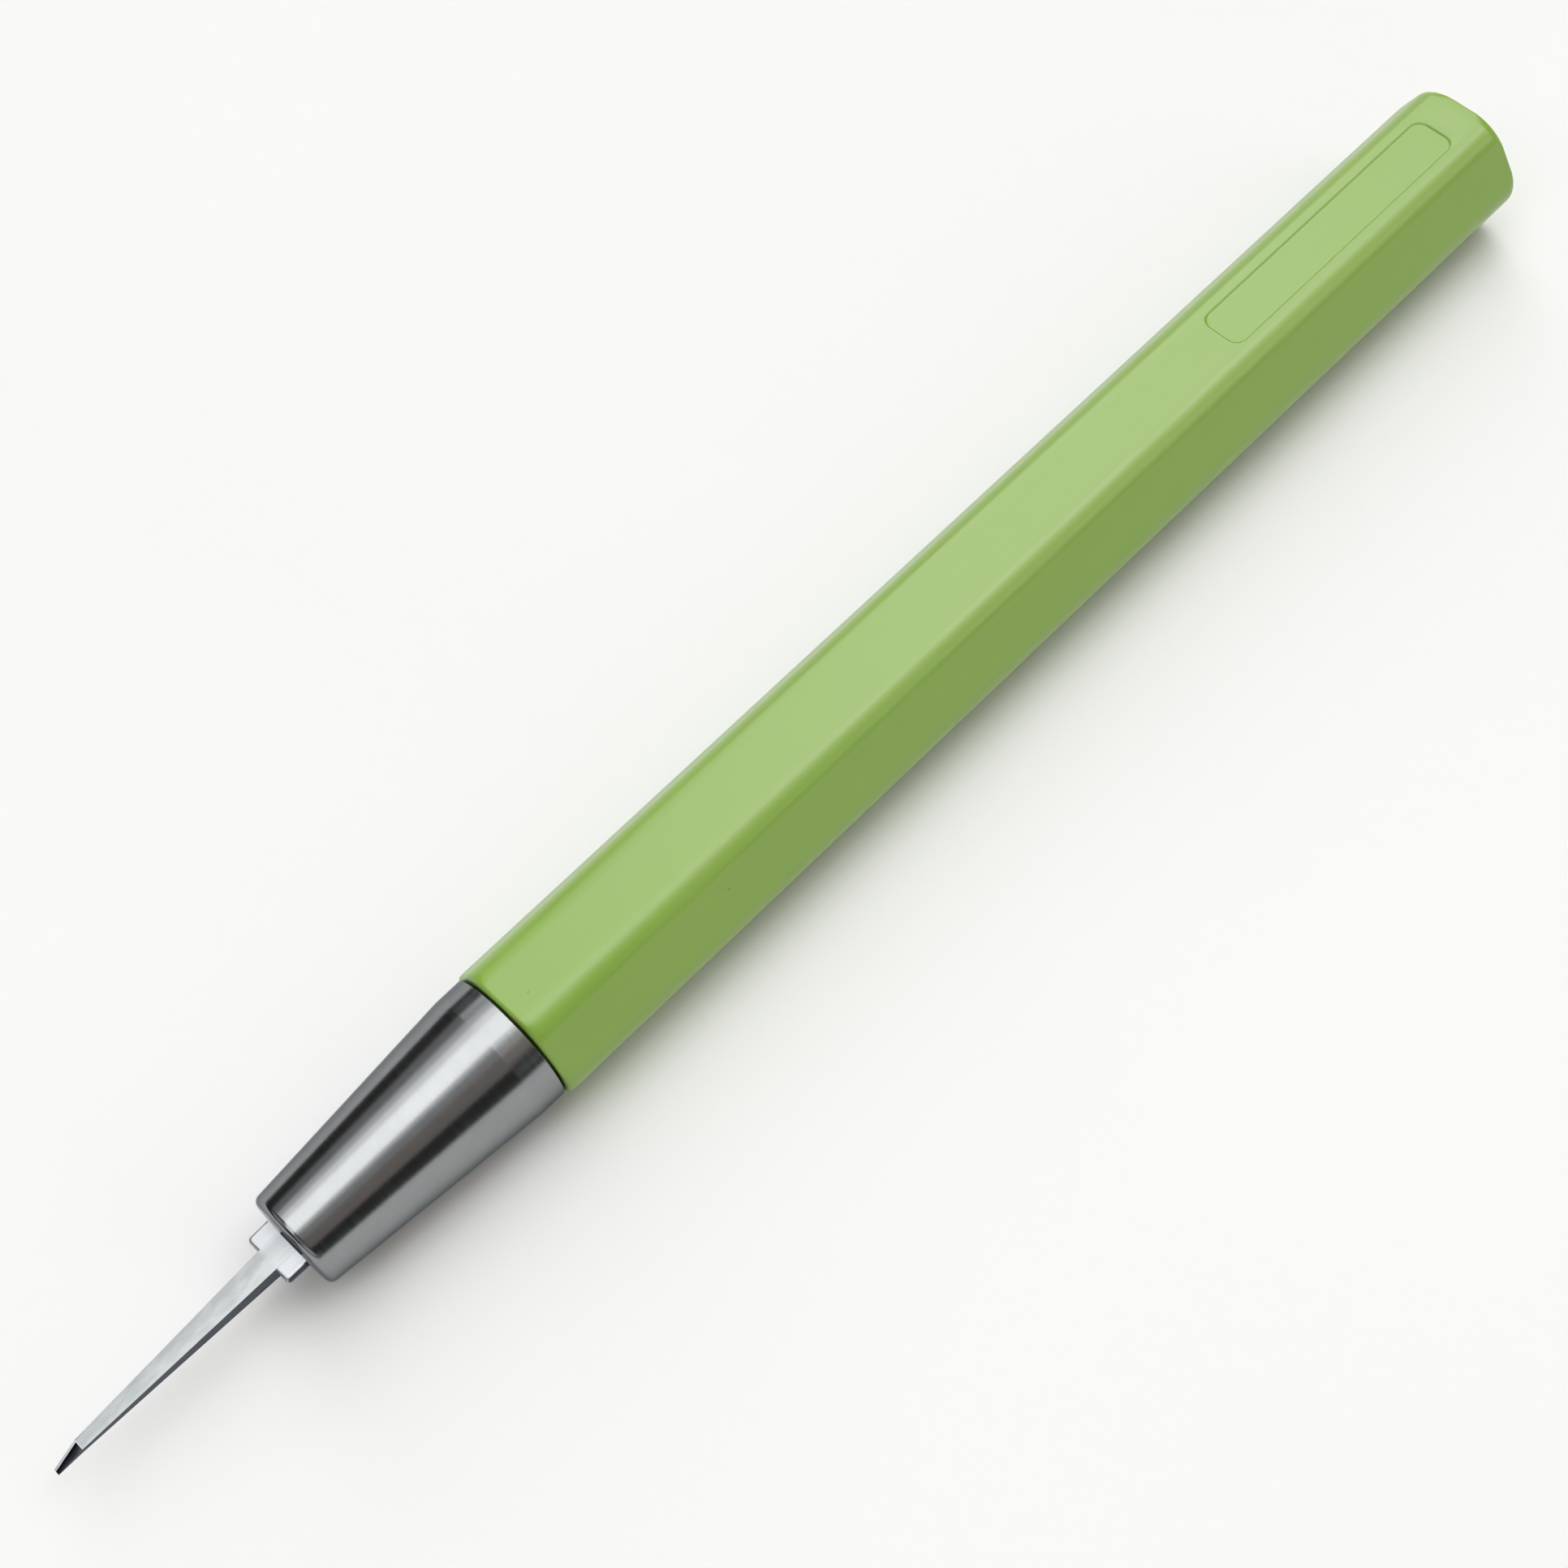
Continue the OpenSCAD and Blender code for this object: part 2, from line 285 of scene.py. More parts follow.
def mould_handle():
    """The hexagonal bar, turned with its bore and then pressed to six flats and two rounded rims."""
    outer = hexagon_reach(0, LONG_EDGE_R) + BLANK_SPARE
    front_gap = FRONT_BLEND - FRONT_RIM
    tail_gap = TAIL_BLEND - TAIL_RIM
    front_rows = [x for x, _ in arc((FRONT_RIM, 0), FRONT_RIM, 180, 90, RIM_ROWS)]
    front_rows += [FRONT_RIM + front_gap * i / BLEND_ROWS for i in range(1, BLEND_ROWS + 1)]
    tail_rows = [HANDLE_LEN - TAIL_BLEND + tail_gap * i / BLEND_ROWS for i in range(BLEND_ROWS)]
    tail_rows += [x for x, _ in arc((HANDLE_LEN - TAIL_RIM, 0), TAIL_RIM, 90, 0, RIM_ROWS)]
    outline = [(STUD_BACK, SHANK_R), (COLLAR_T, SHANK_R), (COLLAR_T, COLLAR_R), (CORE_LEAD, COLLAR_R),
               (0, COLLAR_R + CORE_LEAD)]
    outline += [(x, outer) for x in front_rows + tail_rows]
    piece = turned_piece("handle_moulding", outline, ring=False)
    for vertex in piece.data.vertices:
        offset = (vertex.co - FRONT_CENTRE) / MM
        reach = math.hypot(offset.y, offset.z)
        x = min(max(offset.x, 0), HANDLE_LEN)
        limit = hexagon_reach(math.atan2(offset.z, offset.y), edge_radius(x)) - rim_inset(x)
        share = min(1, limit / reach)
        vertex.co = place(offset.x, offset.y * share, offset.z * share)
    combine(piece, panel_cutter(), "DIFFERENCE")
    smooth(piece, 50)
    return piece


def panel_cutter():
    """A rounded block whose wall leans out in a soft curve, for the shallow panel."""
    deselect_all()
    middle = HANDLE_LEN - PANEL_TO_TAIL - PANEL_LEN / 2
    floor_z = FLAT_R - PANEL_DEPTH
    bpy.ops.mesh.primitive_plane_add(size=1)
    cutter = bpy.context.object
    cutter.scale = (PANEL_LEN * MM, PANEL_W * MM, 1)
    cutter.location = place(middle, 0, floor_z)
    settle(cutter, "panel_cutter")
    bpy.ops.object.mode_set(mode="EDIT")
    bpy.ops.mesh.select_all(action="SELECT")
    bpy.ops.mesh.bevel(offset_type="OFFSET", offset=PANEL_R * MM, segments=10, affect="VERTICES")
    bpy.ops.mesh.select_all(action="SELECT")
    wide = 0.0
    rise = 0.0
    # How far each step of the wall stands outside the panel's outline, and over its floor
    steps = ((-PANEL_SOFT, 0), (-0.6 * PANEL_SOFT, 0.12 * PANEL_DEPTH), (0, 0.5 * PANEL_DEPTH),
             (0.6 * PANEL_SOFT, 0.88 * PANEL_DEPTH), (2 * PANEL_SOFT, 1.3 * PANEL_DEPTH))
    for next_wide, next_rise in steps:
        if next_rise > 0:
            bpy.ops.mesh.extrude_region_move(
                TRANSFORM_OT_translate={"value": (0, 0, (next_rise - rise) * MM)})
        share_x = (PANEL_LEN + 2 * next_wide) / (PANEL_LEN + 2 * wide)
        share_y = (PANEL_W + 2 * next_wide) / (PANEL_W + 2 * wide)
        bpy.ops.transform.resize(value=(share_x, share_y, 1), center_override=place(middle, 0, floor_z))
        wide, rise = next_wide, next_rise
    bpy.ops.mesh.select_all(action="SELECT")
    bpy.ops.mesh.normals_make_consistent(inside=False)
    bpy.ops.object.mode_set(mode="OBJECT")
    return cutter


def turn_nose():
    """The steel nose: mouth, rounded front edge, cone, land, chamfered rear edge and stepped bore."""
    kink = NOSE_BACK - LAND_LEN
    slope = (NOSE_R - NOSE_FRONT_R) / (kink - NOSE_FRONT)
    lean = math.degrees(math.atan(slope))
    front_x = NOSE_FRONT + NOSE_FRONT_EDGE
    front_r = NOSE_R - slope * (kink - front_x) - NOSE_FRONT_EDGE / math.cos(math.radians(lean))
    mouth_back = NOSE_FRONT + MOUTH_WALL
    bore_front = STUD_FRONT - BORE_GAP
    outline = [(NOSE_FRONT, MOUTH_R + MOUTH_LEAD), (NOSE_FRONT, front_r - KINK)]
    outline += arc((front_x, front_r), NOSE_FRONT_EDGE, 180, 90 + lean, 8)
    outline += [(front_x + NOSE_FRONT_EDGE, NOSE_R - slope * (kink - front_x - NOSE_FRONT_EDGE)),
                (kink - KINK, NOSE_R - slope * KINK), (kink, NOSE_R), (kink + KINK, NOSE_R),
                (NOSE_BACK - NOSE_BACK_EDGE, NOSE_R), (NOSE_BACK, NOSE_R - NOSE_BACK_EDGE),
                (NOSE_BACK, THREAD_BORE_R + BORE_LEAD),
                (NOSE_BACK - BORE_LEAD, THREAD_BORE_R), (bore_front, THREAD_BORE_R),
                (bore_front, HEAD_BORE_R), (mouth_back + TAPER_LEN, HEAD_BORE_R),
                (mouth_back, THROAT_R), (mouth_back, MOUTH_R), (NOSE_FRONT + MOUTH_LEAD, MOUTH_R)]
    piece = turned_piece("nose_turning", outline, ring=True)
    smooth(piece, 30)
    return piece


def turn_stud():
    """The brass stud with its collar, relief groove, socket and cut thread."""
    root = THREAD_R - THREAD_DEPTH
    outline = [(STUD_FRONT, SOCKET_R), (STUD_FRONT, root - STUD_LEAD / 4),
               (STUD_FRONT + STUD_LEAD / 2, root), (-RELIEF_W, root), (-RELIEF_W, RELIEF_R), (0, RELIEF_R),
               (0, COLLAR_R), (COLLAR_T, COLLAR_R), (COLLAR_T, SHANK_R), (STUD_BACK - STUD_LEAD, SHANK_R),
               (STUD_BACK, SHANK_R - STUD_LEAD), (STUD_BACK, SOCKET_R / 2), (SOCKET_BACK, SOCKET_R / 2),
               (SOCKET_BACK, SOCKET_R)]
    piece = turned_piece("stud_turning", outline, ring=True)
    combine(piece, thread_ridge(root), "UNION")
    smooth(piece, 35)
    return piece


def thread_ridge(root):
    """The thread's ridge: one tapering section, swept right-handed along the stud."""
    deselect_all()
    start = STUD_FRONT + THREAD_FOOT / 2 + THREAD_START
    turns = math.floor((-RELIEF_W - THREAD_FOOT / 2 - start) / THREAD_PITCH)
    bpy.ops.mesh.primitive_plane_add(size=1, rotation=(math.pi / 2, 0, 0))
    ridge = bpy.context.object
    ridge.scale = (THREAD_FOOT * MM, (THREAD_DEPTH + THREAD_SINK) * MM, 1)
    ridge.location = (0, 0, (root - THREAD_SINK + THREAD_R) / 2 * MM)
    settle(ridge, "thread_ridge")
    bpy.ops.object.mode_set(mode="EDIT")
    pick(ridge, "verts", lambda v: close(v.co.z, THREAD_R * MM))
    bpy.ops.transform.resize(value=(THREAD_CREST / THREAD_FOOT, 1, 1),
                             center_override=(0, 0, THREAD_R * MM))
    bpy.ops.object.mode_set(mode="OBJECT")
    apply_modifier(ridge, "SCREW", axis="X", angle=2 * math.pi, screw_offset=THREAD_PITCH * MM,
                   iterations=turns, steps=THREAD_STEPS, render_steps=THREAD_STEPS,
                   use_merge_vertices=True)
    ridge.location = place(start)
    bpy.ops.object.transform_apply(location=True, rotation=True, scale=True)
    bpy.ops.object.mode_set(mode="EDIT")
    bpy.ops.mesh.select_all(action="SELECT")
    bpy.ops.mesh.fill_holes(sides=0)
    bpy.ops.mesh.normals_make_consistent(inside=False)
    bpy.ops.object.mode_set(mode="OBJECT")
    return ridge


def honed_slope():
    """Sideways run of the left edge of the tip bevel, per length along the tool."""
    return ((BEVEL_W - EDGE_W) / 2 + EDGE_OFFSET) / BEVEL_LEN


def grind_blade():
    """The scraper blade: tapering body, tip bevel, stop shoulders and tang."""
    back = NOSE_FRONT - SHOULDER_GAP
    front = back - SHOULDER_LEN
    bevel = TIP + BEVEL_LEN
    underside = -TANG_T / 2
    slope = (ROOT_T - BEVEL_T) / (back - bevel)
    root_t = ROOT_T - slope * SHOULDER_LEN
    x, wide, thick = back - BODY_SINK, ROOT_W, ROOT_T
    deselect_all()
    bpy.ops.mesh.primitive_plane_add(size=1, rotation=(0, math.pi / 2, 0))
    piece = bpy.context.object
    piece.scale = (ROOT_T * MM, ROOT_W * MM, 1)
    piece.location = place(x, 0, underside + ROOT_T / 2)
    settle(piece, "blade_ground")
    bpy.ops.object.mode_set(mode="EDIT")
    bpy.ops.mesh.select_all(action="SELECT")
    # A row of the body that ends the painted highlight line at the bevel's start
    share = PAINTED_HIGHLIGHT_LINE / (front - bevel)
    line = (bevel + PAINTED_HIGHLIGHT_LINE, BEVEL_W + (ROOT_W - BEVEL_W) * share, BEVEL_T + slope * PAINTED_HIGHLIGHT_LINE)
    for next_x, next_wide, next_thick in ((front, ROOT_W, root_t), line, (bevel, BEVEL_W, BEVEL_T),
                                          (TIP, EDGE_W, EDGE_T)):
        bpy.ops.mesh.extrude_region_move(TRANSFORM_OT_translate={"value": ((next_x - x) * MM, 0, 0)})
        bpy.ops.transform.resize(value=(1, next_wide / wide, next_thick / thick),
                                 center_override=place(next_x, 0, underside))
        x, wide, thick = next_x, next_wide, next_thick
    bpy.ops.transform.translate(value=(0, -EDGE_OFFSET * MM, 0))
    bpy.ops.mesh.select_all(action="SELECT")
    bpy.ops.mesh.normals_make_consistent(inside=False)
    bpy.ops.mesh.bisect(plane_co=place(bevel, BEVEL_W / 2 - HONED_W), plane_no=(-honed_slope(), 1, 0),
                        threshold=0.0001 * MM)
    bpy.ops.object.mode_set(mode="OBJECT")
    combine(piece, shoulder_bar(back, front, underside + ROOT_T, slope), "UNION")
    combine(piece, tang_bar(back, underside), "UNION")
    apply_modifier(piece, "BEVEL", width=GROUND_EDGE * MM, segments=2, limit_method="ANGLE",
                   angle_limit=math.radians(32), use_clamp_overlap=True)
    smooth(piece, 40)
    return piece


def shoulder_bar(back, front, top, slope):
    """The bar of the stop shoulders, with round front corners and softened upper edges."""
    deselect_all()
    bpy.ops.mesh.primitive_cube_add(size=1)
    bar = bpy.context.object
    bar.scale = (SHOULDER_LEN * MM, SHOULDER_W * MM, SHOULDER_T * MM)
    bar.location = place((back + front) / 2, 0, top - SHOULDER_SINK - SHOULDER_T / 2)
    settle(bar, "shoulder_bar")
    top_z = place(0, 0, top - SHOULDER_SINK).z
    bpy.ops.object.mode_set(mode="EDIT")
    pick(bar, "edges", lambda e: lies_at(e, front) and abs(e.verts[0].co.y - e.verts[1].co.y) < MM)
    bpy.ops.mesh.bevel(offset_type="OFFSET", offset=SHOULDER_CORNER * MM, segments=6, affect="EDGES")
    pick(bar, "edges", lambda e: all(close(v.co.z, top_z) for v in e.verts) and not lies_at(e, back))
    bpy.ops.mesh.bevel(offset_type="OFFSET", offset=SHOULDER_ROUND * MM, segments=4, affect="EDGES")
    bpy.ops.object.mode_set(mode="OBJECT")
    for vertex in bar.data.vertices:
        offset = (vertex.co - FRONT_CENTRE) / MM
        if offset.z > top - SHOULDER_T / 2:
            vertex.co.z -= slope * (back - offset.x) * MM
    return bar


def tang_bar(back, underside):
    """The tang, starting inside the shoulders, with its rear corners taken off."""
    deselect_all()
    bpy.ops.mesh.primitive_cube_add(size=1)
    tang = bpy.context.object
    tang.scale = ((TANG_BACK - back + TANG_SINK) * MM, TANG_W * MM, (TANG_T - TANG_LIFT) * MM)
    tang.location = place((TANG_BACK + back - TANG_SINK) / 2, 0, underside + (TANG_T + TANG_LIFT) / 2)
    settle(tang, "tang_bar")
    bpy.ops.object.mode_set(mode="EDIT")
    pick(tang, "edges", lambda e: lies_at(e, TANG_BACK) and not close(e.verts[0].co.z, e.verts[1].co.z))
    bpy.ops.mesh.bevel(offset_type="OFFSET", offset=TANG_LEAD * MM, segments=1, affect="EDGES")
    bpy.ops.object.mode_set(mode="OBJECT")
    return tang


handle = mould_handle()
nose = turn_nose()
stud = turn_stud()
blade = grind_blade()
for piece, body, node, slot in ((handle, "handle", "handle", "handle_plastic"),
                                (stud, "handle", "chuck_stud", "stud_brass"),
                                (nose, "nose", "nose", "nose_steel"),
                                (blade, "blade", "blade", "blade_steel")):
    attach(piece, body)
    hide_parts(node)


# Finishes
def new_group(name, inputs, outputs):
    """A shader node group with float inputs of a given value and float outputs."""
    group = bpy.data.node_groups.new(name, "ShaderNodeTree")
    for label, value in inputs.items():
        socket = group.interface.new_socket(label, in_out="INPUT", socket_type="NodeSocketFloat")
        socket.default_value = value
    for label in outputs:
        group.interface.new_socket(label, in_out="OUTPUT", socket_type="NodeSocketFloat")
    return group, group.nodes.new("NodeGroupInput"), group.nodes.new("NodeGroupOutput")


def set_sockets(node, values):
    """Sets a node's input sockets by name, such as cloud_fineness for Cloud Fineness."""
    for label, value in values.items():
        node.inputs[label.replace("_", " ").title().replace("Ior", "IOR")].default_value = value


def add_node(tree, kind, **values):
    """A node with its input sockets set by name."""
    node = tree.nodes.new(kind)
    set_sockets(node, values)
    return node


def spots(tree, stretch):
    """Object coordinates in millimetres, stretched along the three axes."""
    source = tree.nodes.new("ShaderNodeTexCoord")
    sized = tree.nodes.new("ShaderNodeVectorMath")
    sized.operation = "MULTIPLY"
    sized.inputs[1].default_value = Vector(stretch) / MM
    tree.links.new(source.outputs["Object"], sized.inputs[0])
    return sized.outputs["Vector"]


def axes(tree):
    """Object coordinates in millimetres, one output for each axis."""
    split = tree.nodes.new("ShaderNodeSeparateXYZ")
    tree.links.new(spots(tree, (1, 1, 1)), split.inputs["Vector"])
    return split.outputs


def noise_on(tree, stretch, detail):
    """Noise on stretched Object coordinates."""
    noise = add_node(tree, "ShaderNodeTexNoise", scale=1, detail=detail)
    tree.links.new(spots(tree, stretch), noise.inputs["Vector"])
    return noise


def make_turning():
    """Rings left by the lathe: a value that changes along the tool and hardly round it."""
    group, source, result = new_group("turning_rings", {"Fineness": 1.0}, ("Rings", "Cloud"))
    fine = noise_on(group, (6, 0.05, 0.05), 3)
    group.links.new(source.outputs["Fineness"], fine.inputs["Scale"])
    cloud = noise_on(group, (0.5, 0.5, 0.5), 3)
    group.links.new(fine.outputs["Fac"], result.inputs["Rings"])
    group.links.new(cloud.outputs["Fac"], result.inputs["Cloud"])
    return group


def make_grinding():
    """Streaks along the tool and cloudy mottling, as on ground and polished steel."""
    group, source, result = new_group("grinding_marks", {"Cloud Fineness": 1.0}, ("Streaks", "Cloud"))
    streaks = noise_on(group, (0.3, 5, 5), 3)
    cloud = noise_on(group, (0.6, 1.8, 1.8), 4)
    group.links.new(source.outputs["Cloud Fineness"], cloud.inputs["Scale"])
    group.links.new(streaks.outputs["Fac"], result.inputs["Streaks"])
    group.links.new(cloud.outputs["Fac"], result.inputs["Cloud"])
    return group


TURNING = make_turning()
GRINDING = make_grinding()


def new_material(name, **settings):
    """A material with its shader's sockets set by name."""
    material = bpy.data.materials.new(name)
    material.use_nodes = True
    shader = material.node_tree.nodes["Principled BSDF"]
    set_sockets(shader, settings)
    return material, material.node_tree, shader


def ramp(tree, value, low, high, *colours):
    """Colours spread evenly between two levels of a value."""
    spread = tree.nodes.new("ShaderNodeValToRGB")
    band = spread.color_ramp
    last = len(colours) - 1
    band.elements[0].position = low
    band.elements[0].color = (*colours[0], 1)
    band.elements[1].position = high
    band.elements[1].color = (*colours[last], 1)
    for i in range(1, last):
        band.elements.new(low + (high - low) * i / last).color = (*colours[i], 1)
    tree.links.new(value, spread.inputs["Fac"])
    return spread.outputs["Color"]


def span(tree, value, low, high, start, end):
    """A value moved from one range to another, and kept inside it."""
    moved = add_node(tree, "ShaderNodeMapRange", from_min=low, from_max=high, to_min=start, to_max=end)
    tree.links.new(value, moved.inputs["Value"])
    return moved.outputs["Result"]


def bump(tree, shader, height, depth):
    """Surface relief of a depth in millimetres."""
    relief = add_node(tree, "ShaderNodeBump", strength=1.0, distance=depth * MM)
    tree.links.new(height, relief.inputs["Height"])
    tree.links.new(relief.outputs["Normal"], shader.inputs["Normal"])


def place_group(tree, group, **values):
    """A group placed in a material, with its inputs set by name."""
    node = tree.nodes.new("ShaderNodeGroup")
    node.node_tree = group
    set_sockets(node, values)
    return node


def blend(tree, factor, first, second):
    """A colour moved from one to another by a factor, each a socket or a fixed colour."""
    mix = tree.nodes.new("ShaderNodeMix")
    mix.data_type = "RGBA"
    tree.links.new(factor, mix.inputs[0])
    for slot, colour in ((6, first), (7, second)):
        if isinstance(colour, tuple):
            mix.inputs[slot].default_value = (*colour, 1)
        else:
            tree.links.new(colour, mix.inputs[slot])
    return mix.outputs[2]


def reckon(tree, operation, *terms):
    """The result of an arithmetic step on values, each a socket or a fixed number."""
    node = tree.nodes.new("ShaderNodeMath")
    node.operation = operation
    for term, socket in zip(terms, node.inputs):
        if isinstance(term, float):
            socket.default_value = term
        else:
            tree.links.new(term, socket)
    return node.outputs["Value"]


def handle_plastic():
    """Pale green moulded plastic with a soft gloss, a faint mottle, a fine skin and a few specks."""
    material, tree, shader = new_material("handle_plastic", specular_ior_level=0.8)
    mottle = noise_on(tree, (0.12, 0.3, 0.3), 3).outputs["Fac"]
    skin = noise_on(tree, (4, 4, 4), 2).outputs["Fac"]
    cells = add_node(tree, "ShaderNodeTexVoronoi", scale=1)
    tree.links.new(spots(tree, (0.25, 0.25, 0.25)), cells.inputs["Vector"])
    tone = ramp(tree, mottle, 0.15, 0.85, (0.188, 0.327, 0.034), (0.20, 0.345, 0.037))
    speck = span(tree, cells.outputs["Distance"], 0.012, 0.03, 0.55, 0)
    tree.links.new(blend(tree, speck, tone, (0.05, 0.08, 0.015)), shader.inputs["Base Color"])
    tree.links.new(span(tree, mottle, 0.2, 0.8, 0.28, 0.34), shader.inputs["Roughness"])
    bump(tree, shader, skin, 0.002)
    return material


def turned_metal(name, dark, light, rough, fineness, depth, edge=(1, 1, 1)):
    """Lathe-turned metal: fine rings in its relief and polish, a cloudy tone, and a tint at its edge."""
    material, tree, shader = new_material(name, metallic=1.0, specular_tint=(*edge, 1))
    marks = place_group(tree, TURNING, fineness=fineness)
    tree.links.new(ramp(tree, marks.outputs["Cloud"], 0.3, 0.7, dark, light), shader.inputs["Base Color"])
    tree.links.new(span(tree, marks.outputs["Rings"], 0.3, 0.7, *rough), shader.inputs["Roughness"])
    bump(tree, shader, marks.outputs["Rings"], depth)
    return material


def ground_finish(tree, shader, marks, tone, rough, depth):
    """Gives a ground surface its tone, a cloudy polish and streaks along the tool in its relief."""
    tree.links.new(tone, shader.inputs["Base Color"])
    tree.links.new(span(tree, marks.outputs["Cloud"], 0.3, 0.7, *rough), shader.inputs["Roughness"])
    bump(tree, shader, marks.outputs["Streaks"], depth)


def ground_metal(name, tones, rough, cloud_fineness, depth):
    """Ground steel with a mottled tone."""
    material, tree, shader = new_material(name, metallic=1.0)
    marks = place_group(tree, GRINDING, cloud_fineness=cloud_fineness)
    tone = ramp(tree, marks.outputs["Cloud"], 0.3, 0.7, *tones)
    ground_finish(tree, shader, marks, tone, rough, depth)
    return material


def blade_top():
    """Mottled ground steel, greyer along one edge of the blade as a painted reflection and lighter towards
    the shoulders' ends as a painted highlight.
    """
    material, tree, shader = new_material("blade_steel", metallic=1.0)
    marks = place_group(tree, GRINDING, cloud_fineness=1.0)
    at = axes(tree)
    # Painted reflection: the tone greys towards one edge of the blade
    lean = span(tree, at["Y"], -0.5, 0.5, 0.16, -0.16)
    tone = ramp(tree, reckon(tree, "ADD", marks.outputs["Cloud"], lean), 0.3, 0.7,
                (0.305, 0.32, 0.33), (0.36, 0.38, 0.385), (0.425, 0.445, 0.45))
    # Painted highlight: the tone grows lighter towards the shoulders' ends
    root = place(NOSE_FRONT - SHOULDER_GAP - SHOULDER_LEN).x / MM
    ends = span(tree, reckon(tree, "ABSOLUTE", at["Y"]), 0.5, 1.0, 0.35, 0.85)
    shoulder = reckon(tree, "MULTIPLY", span(tree, at["X"], root - 0.1, root + 0.3, 0, 1), ends)
    paler = blend(tree, shoulder, tone, (0.495, 0.515, 0.53))
    ground_finish(tree, shader, marks, paler, (0.30, 0.38), 0.001)
    return material


def blade_bevel_painted_reflection():
    """Polished steel with a painted reflection: black along the honed edge and at the tip, and greyer on
    the other side.
    """
    material, tree, shader = new_material("blade_bevel_painted_reflection", metallic=1.0)
    marks = place_group(tree, GRINDING, cloud_fineness=0.8)
    at = axes(tree)
    start = place(TIP + BEVEL_LEN).x / MM
    shift = honed_slope() * start
    aside = reckon(tree, "MULTIPLY_ADD", at["X"], -honed_slope(), at["Y"])
    side = span(tree, aside, -0.36 - shift, 0.1 - shift, 1, 0)
    behind = span(tree, at["X"], start - 0.6, start, 0.6, 1)
    # Painted reflection: black by the honed edge and the tip, slate across the bevel, warm grey on the
    # other side near the bevel's start
    tone = ramp(tree, reckon(tree, "MULTIPLY", side, behind), 0, 1,
                (0.006, 0.006, 0.008), (0.045, 0.05, 0.06), (0.15, 0.145, 0.14))
    ground_finish(tree, shader, marks, tone, (0.3, 0.36), 0.0004)
    return material


def dress(piece, *materials):
    """Gives a piece its materials, in the order of its slots."""
    piece.data.materials.clear()
    for material in materials:
        piece.data.materials.append(material)


def dress_blade():
    """Pale ground top and underside, a painted dark tone on the flanks and tang, a polished tip bevel with
    a painted reflection, and a painted highlight on its honed edge.
    """
    # The dark material is painted: painted dark reflection on the flanks and the shoulders' front faces,
    # painted shade on the tang where it shows in the gap at the nose
    dress(blade, blade_top(),
          ground_metal("blade_painted_dark", ((0.04, 0.05, 0.07), (0.075, 0.085, 0.105)),
                       (0.36, 0.46), 1.2, 0.002),
          blade_bevel_painted_reflection(),
          ground_metal("blade_hone_painted_highlight", ((0.57, 0.575, 0.59), (0.65, 0.66, 0.68)),
                       (0.55, 0.65), 0.8, 0.0004))
    top, flank, polished, hone = range(4)
    shoulder_back = NOSE_FRONT - SHOULDER_GAP
    shoulder_front = shoulder_back - SHOULDER_LEN
    bevel = TIP + BEVEL_LEN
    for face in blade.data.polygons:
        x, y, _ = (face.center - FRONT_CENTRE) / MM
        upward = face.normal.z > 0.5
        honed = x < bevel and y > BEVEL_W / 2 - HONED_W + honed_slope() * (x - bevel)
        sideways = abs(face.normal.y) > 0.75
        front_end = x > shoulder_front - FRONT_SLACK and face.normal.x < -0.85
        left_end = y > ROOT_W / 2 + SIDE_SLACK and x < shoulder_back - BACK_SLACK
        # Painted highlight: the honed strip, a real facet, and a thin line where the bevel starts get pale
        # steel
        if upward and (honed or bevel < x < bevel + PAINTED_HIGHLIGHT_LINE):
            face.material_index = hone
        # The rest of the tip bevel takes the painted reflection
        elif upward and x < bevel:
            face.material_index = polished
        # Painted dark reflection on the sides and front faces, painted shade on the tang in its gap
        elif not left_end and (sideways or front_end or x > shoulder_back + BACK_SLACK):
            face.material_index = flank
        else:
            face.material_index = top


dress(handle, handle_plastic())
dress(nose, turned_metal("nose_steel", (0.275, 0.285, 0.29), (0.30, 0.31, 0.315), (0.16, 0.20), 1.2, 0.0008,
                         edge=(0.42, 0.45, 0.46)))
dress(stud, turned_metal("stud_brass", (0.62, 0.44, 0.18), (0.72, 0.54, 0.25), (0.26, 0.36), 0.8, 0.002))
dress(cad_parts["collet"],
      turned_metal("collet_steel", (0.38, 0.39, 0.40), (0.44, 0.45, 0.46), (0.3, 0.38), 0.7, 0.002))
dress_blade()


# Studio
def make_floor():
    """A wide pale floor with a hardly visible mottle."""
    deselect_all()
    bpy.ops.mesh.primitive_plane_add(size=80)
    floor = bpy.context.object
    floor.name = "floor"
    material, tree, shader = new_material("floor_paint", roughness=0.9, specular_ior_level=0.2)
    tone = noise_on(tree, (0.01, 0.01, 0.01), 2).outputs["Fac"]
    tree.links.new(ramp(tree, tone, 0.3, 0.7, (0.75, 0.75, 0.75), (0.765, 0.765, 0.765)),
                   shader.inputs["Base Color"])
    dress(floor, material)


def softbox(name, reach, sides, radiance, tint=(1, 1, 1)):
    """A level light panel high over the tool, between two leans along it and two angles across it."""
    height = 20.0
    middle = math.radians(sum(sides) / 2)
    ends = [r / math.sqrt(1 - r * r) / math.cos(middle) * height for r in reach]
    across = [-math.tan(math.radians(a)) * height for a in sides]
    long = abs(ends[1] - ends[0])
    wide = abs(across[1] - across[0])
    deselect_all()
    bpy.ops.object.light_add(type="AREA", location=(sum(ends) / 2, sum(across) / 2, height))
    lamp = bpy.context.object
    lamp.name = name
    lamp.data.shape = "RECTANGLE"
    lamp.data.size = long
    lamp.data.size_y = wide
    lamp.data.energy = radiance * math.pi * long * wide
    lamp.data.color = tint


